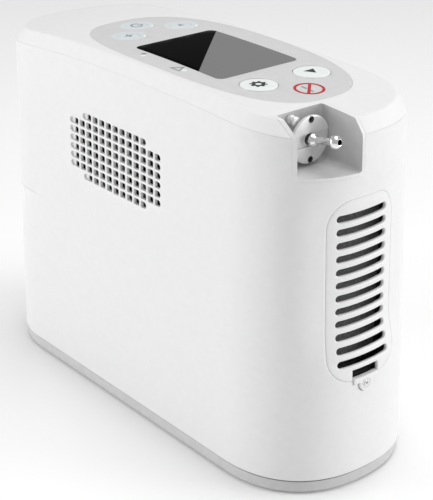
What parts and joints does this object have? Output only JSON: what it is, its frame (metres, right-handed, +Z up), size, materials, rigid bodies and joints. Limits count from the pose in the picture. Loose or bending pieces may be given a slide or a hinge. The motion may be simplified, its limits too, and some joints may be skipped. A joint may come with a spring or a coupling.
{
  "type": "portable oxygen concentrator",
  "caption": "Slim white hand-carried oxygen concentrator with a tinted display, touch keys, a corner outlet pocket, side grille, louvred filter door and slide-out battery.",
  "frame": {"origin": "on the ground under the middle of the body's footprint", "axes": "+Z up; +X along the long side towards the end with the gas outlet and the filter door; -Y towards the side with the intake grille of square holes"},
  "size_m": [0.2218, 0.0848, 0.162],
  "materials": {
    "aluminium": "plain drawn and machined",
    "black_rubber": "matt rubber",
    "chrome": "bright plated",
    "circuit_green": "solder-resist green",
    "clear_tube": "milky flexible plastic",
    "dark_plastic": "moulded black",
    "display_glass": "polished dark window",
    "filter_foam": "open-cell foam",
    "grey_base": "satin moulded light grey",
    "key_white": "satin moulded white",
    "panel_film": "smooth printed grey film",
    "satin_metal": "satin machined",
    "white_shell": "fine satin moulded white"
  },
  "bodies": {
    "main_body": {"alarm_buzzer": "dark_plastic", "base_plate": "grey_base", "base_screw_1": "satin_metal", "base_screw_2": "satin_metal", "base_screw_3": "satin_metal", "base_screw_4": "satin_metal", "battery_bay": "dark_plastic", "chassis_deck": "aluminium", "control_panel": "panel_film", "crankcase_a": "aluminium", "crankcase_b": "aluminium", "cylinder_head_a": "aluminium", "cylinder_head_b": "aluminium", "dc_power_socket": "dark_plastic", "display_board": "circuit_green", "fan_frame": "dark_plastic", "filter_tray": "dark_plastic", "flange_screw_1": "satin_metal", "flange_screw_2": "satin_metal", "flow_led": "key_white", "foot_1": "black_rubber", "foot_2": "black_rubber", "foot_3": "black_rubber", "foot_4": "black_rubber", "housing": "white_shell", "intake_filter": "filter_foam", "locating_pin": "satin_metal", "main_board": "circuit_green", "motor_stator": "satin_metal", "mute_led": "key_white", "outlet_flange": "satin_metal", "outlet_nozzle": "chrome", "outlet_pocket": "white_shell", "outlet_tube": "clear_tube", "power_led": "key_white", "product_filter": "clear_tube", "product_tank": "aluminium", "rubber_mount_a_left": "black_rubber", "rubber_mount_a_right": "black_rubber", "rubber_mount_b_left": "black_rubber", "rubber_mount_b_right": "black_rubber", "screen_glass": "display_glass", "sieve_bed_a": "aluminium", "sieve_bed_b": "aluminium", "solenoid_valve_a": "dark_plastic", "solenoid_valve_b": "dark_plastic", "top_cover": "white_shell", "valve_manifold": "aluminium"},
    "settings_key": {"settings_key": "key_white"},
    "select_key": {"select_key": "key_white"},
    "power_key": {"power_key": "key_white"},
    "flow_key": {"flow_key": "key_white"},
    "mute_key": {"mute_key": "key_white"},
    "filter_door": {"filter_cover": "white_shell", "cover_latch": "white_shell"},
    "door_screw": {"cover_screw": "satin_metal"},
    "battery": {"battery_pack": "white_shell"},
    "battery_latch": {"battery_latch": "grey_base"},
    "motor_rotor": {"motor_rotor": "satin_metal"},
    "fan_rotor": {"fan_rotor": "dark_plastic"}
  },
  "joints": [
    {"name": "settings_key_press", "type": "slide", "parent": "main_body", "child": "settings_key", "axis": [0, 0, -1], "range_m": [0, 0.0005], "stiffness_N_per_m": 400},
    {"name": "select_key_press", "type": "slide", "parent": "main_body", "child": "select_key", "axis": [0, 0, -1], "range_m": [0, 0.0005], "stiffness_N_per_m": 400},
    {"name": "power_key_press", "type": "slide", "parent": "main_body", "child": "power_key", "axis": [0, 0, -1], "range_m": [0, 0.0005], "stiffness_N_per_m": 400},
    {"name": "flow_key_press", "type": "slide", "parent": "main_body", "child": "flow_key", "axis": [0, 0, -1], "range_m": [0, 0.0005], "stiffness_N_per_m": 400},
    {"name": "mute_key_press", "type": "slide", "parent": "main_body", "child": "mute_key", "axis": [0, 0, -1], "range_m": [0, 0.0005], "stiffness_N_per_m": 400},
    {"name": "filter_door_swing", "type": "hinge", "parent": "main_body", "child": "filter_door", "pos_m": [0.10786, -0.0012, 0.1274], "axis": [0, -1, 0], "range_deg": [0, 70]},
    {"name": "door_screw_turn", "type": "hinge", "parent": "filter_door", "child": "door_screw", "pos_m": [0.10986, -0.0012, 0.047], "axis": [1, 0, 0], "continuous": true},
    {"name": "battery_slide", "type": "slide", "parent": "main_body", "child": "battery", "axis": [-1, 0, 0], "range_m": [0, 0.09]},
    {"name": "battery_latch_press", "type": "slide", "parent": "main_body", "child": "battery_latch", "axis": [1, 0, 0], "range_m": [0, 0.002], "stiffness_N_per_m": 500},
    {"name": "motor_spin", "type": "hinge", "parent": "main_body", "child": "motor_rotor", "pos_m": [0.046, 0, 0.036], "axis": [1, 0, 0], "continuous": true},
    {"name": "fan_spin", "type": "hinge", "parent": "main_body", "child": "fan_rotor", "pos_m": [-0.0063, -0.03105, 0.11777], "axis": [0, -1, 0], "continuous": true}
  ]
}
